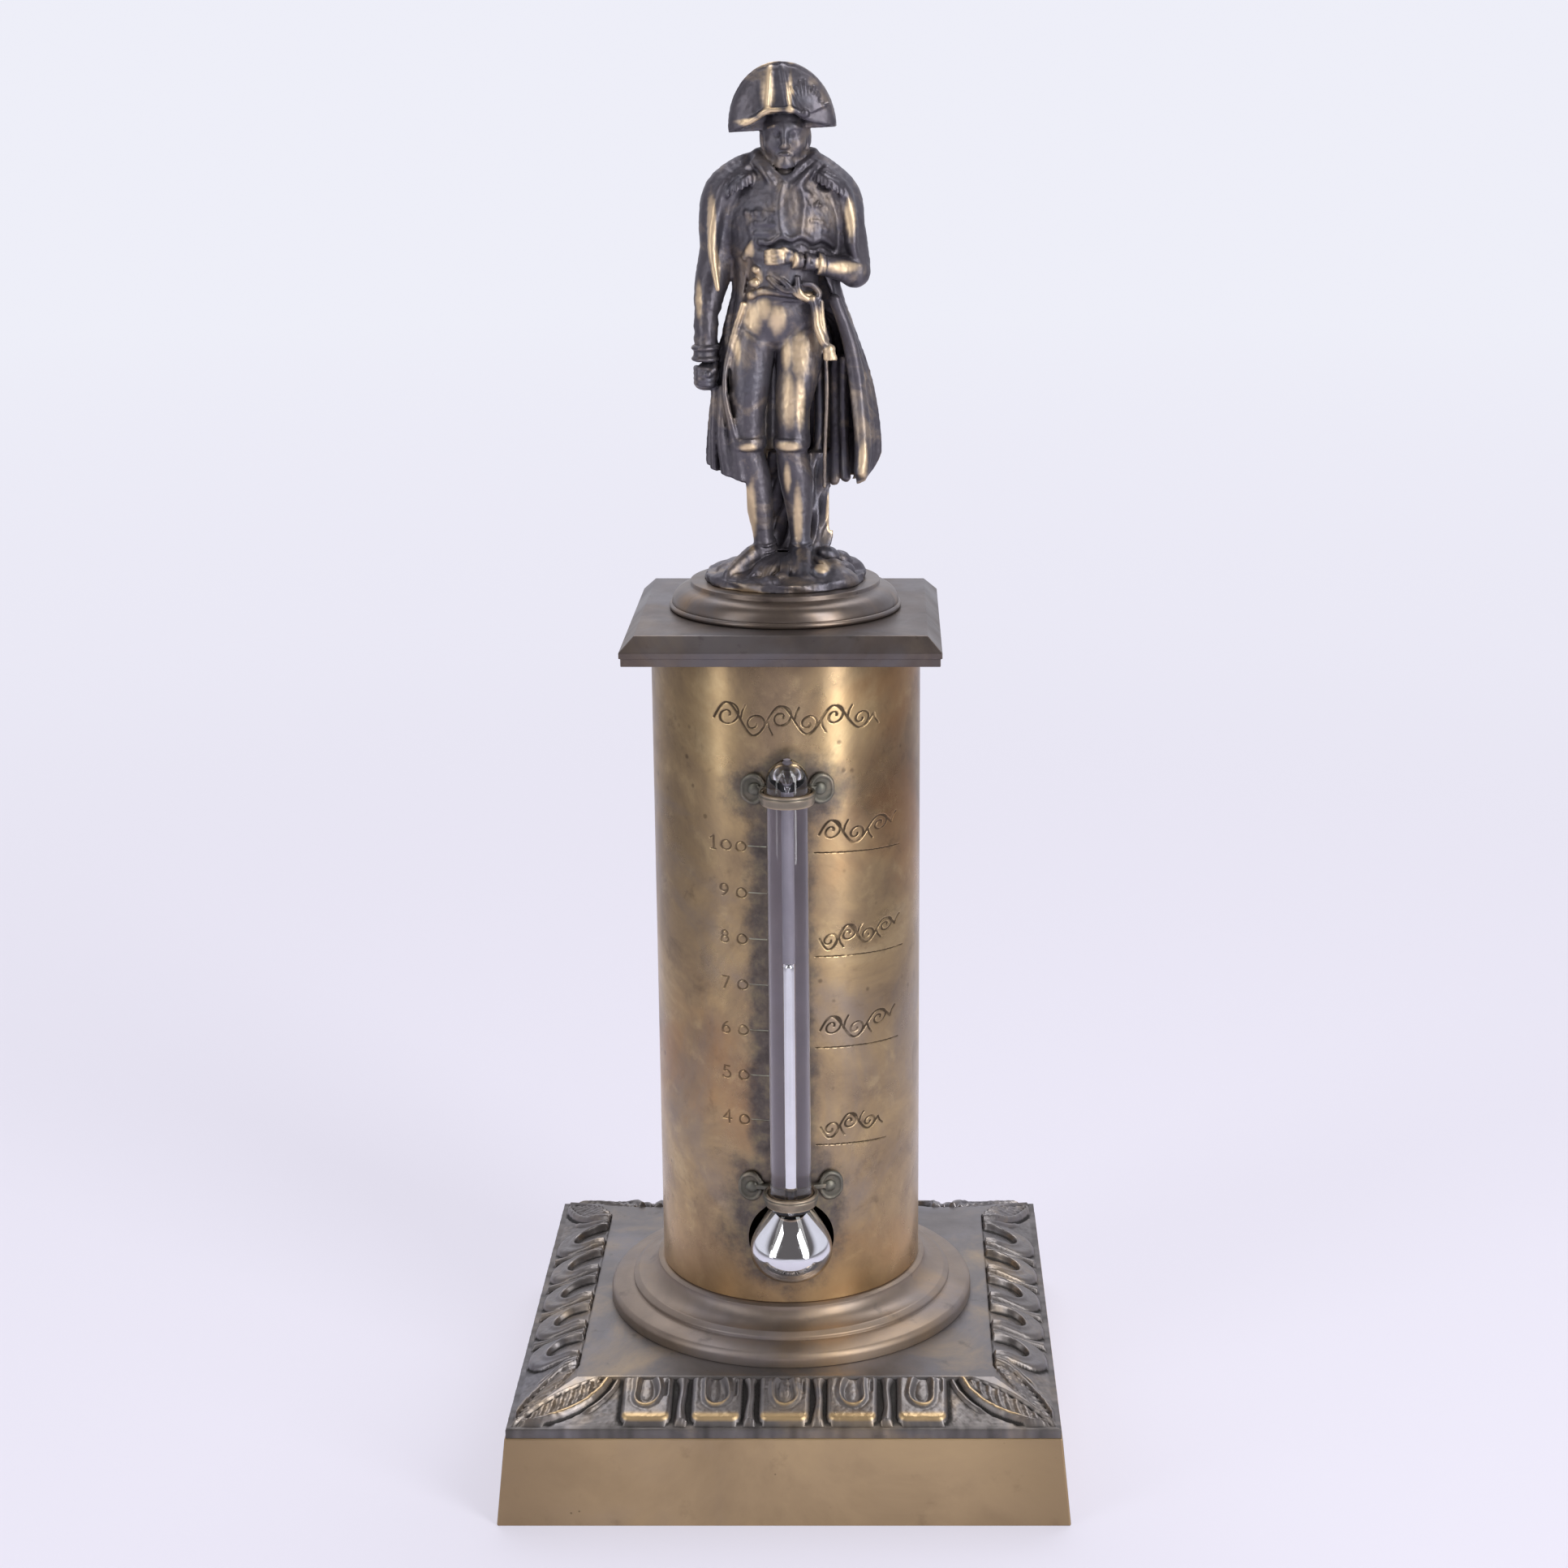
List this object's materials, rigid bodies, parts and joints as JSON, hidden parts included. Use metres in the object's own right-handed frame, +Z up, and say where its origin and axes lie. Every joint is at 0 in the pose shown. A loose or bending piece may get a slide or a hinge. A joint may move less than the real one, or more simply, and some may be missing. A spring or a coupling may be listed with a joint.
{
  "type": "desk thermometer",
  "caption": "Mercury thermometer strapped to a round brass column on a square egg-and-dart plinth, with a standing bronze officer in a cocked hat on top.",
  "frame": {"origin": "middle of the plinth's foot, on the surface it stands on", "axes": "+Z up along the column; the thermometer and the figure's face look along -Y; +X is to the viewer's right"},
  "size_m": [0.0852, 0.0852, 0.21],
  "materials": {
    "plinth_brass": "brushed, worn, warm along the foot",
    "cast_brass": "cast, dark in the hollows and rubbed bright on the high spots",
    "turned_brass": "turned, toned grey-brown",
    "column_brass": "satin, streaked and blotched with age",
    "figure_bronze": "dark bronze patina with rubbed coppery high spots",
    "strap_brass": "toned, rubbed on the edges",
    "steel": "plain",
    "packing": "dull, hardened",
    "glass": "clear, drawn",
    "mercury": "mirror bright liquid metal"
  },
  "bodies": {
    "stand": {"plinth_block": "plinth_brass", "egg_and_dart_moulding": "cast_brass", "column_base": "turned_brass", "column_tube": "column_brass", "capital_plate": "turned_brass", "figure_socle": "turned_brass", "figure": "figure_bronze", "tie_rod": "steel", "tie_rod_washer": "steel", "tie_rod_nut": "steel", "upper_strap": "strap_brass", "lower_strap": "strap_brass", "upper_strap_pins": "strap_brass", "lower_strap_pins": "strap_brass", "upper_packing": "packing", "lower_packing": "packing", "thermometer_glass": "glass", "mercury_reservoir": "mercury"},
    "mercury": {"mercury_thread": "mercury", "mercury_meniscus": "mercury"}
  },
  "joints": [
    {"name": "mercury_rise", "type": "slide", "parent": "stand", "child": "mercury", "axis": [0, 0, 1], "range_m": [-0.028, 0.02], "deforming": ["mercury_thread"]}
  ]
}
